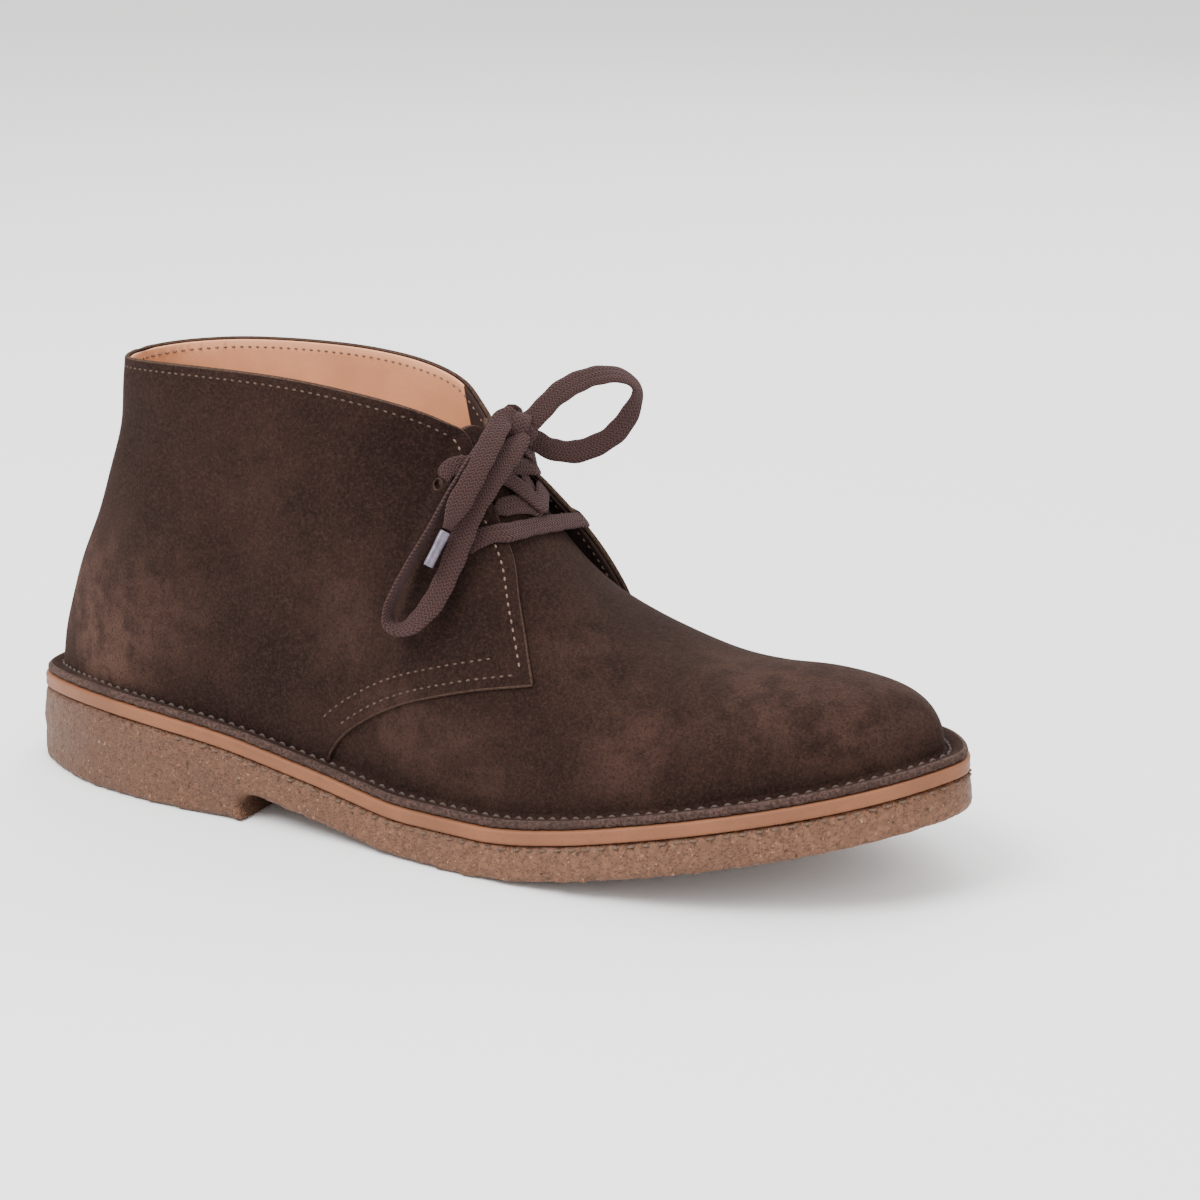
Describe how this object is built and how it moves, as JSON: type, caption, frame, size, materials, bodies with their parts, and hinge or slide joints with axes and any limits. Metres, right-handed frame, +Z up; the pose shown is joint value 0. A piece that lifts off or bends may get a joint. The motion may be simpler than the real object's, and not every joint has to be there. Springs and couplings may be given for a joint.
{
  "type": "desert boot",
  "caption": "Ankle-high suede desert boot with a turned-out upper on a leather midsole, a crepe sole with its heel, a tongue and a tied flat lace.",
  "frame": {"origin": "on the floor under the middle of the boot's box", "axes": "+X to the toe, +Y to the inner side of the foot, +Z up"},
  "size_m": [0.2976, 0.1026, 0.1275],
  "materials": {
    "suede": "napped suede",
    "midsole_leather": "smooth, natural edge",
    "lining_leather": "smooth",
    "crepe": "grained crepe rubber",
    "lace": "flat braid",
    "aglet": "glossy clear film"
  },
  "bodies": {
    "root": {"outsole": "crepe", "midsole": "midsole_leather", "insole": "lining_leather", "upper": "suede", "tongue": "suede", "lace_lower_bar": "lace", "lace_upper_bar": "lace", "lace_crossing": "lace", "lace_knot": "lace", "lace_loop_near": "lace", "lace_loop_far": "lace", "lace_end_near": "lace", "lace_end_far": "lace", "aglet_near": "aglet", "aglet_far": "aglet"}
  },
  "joints": []
}
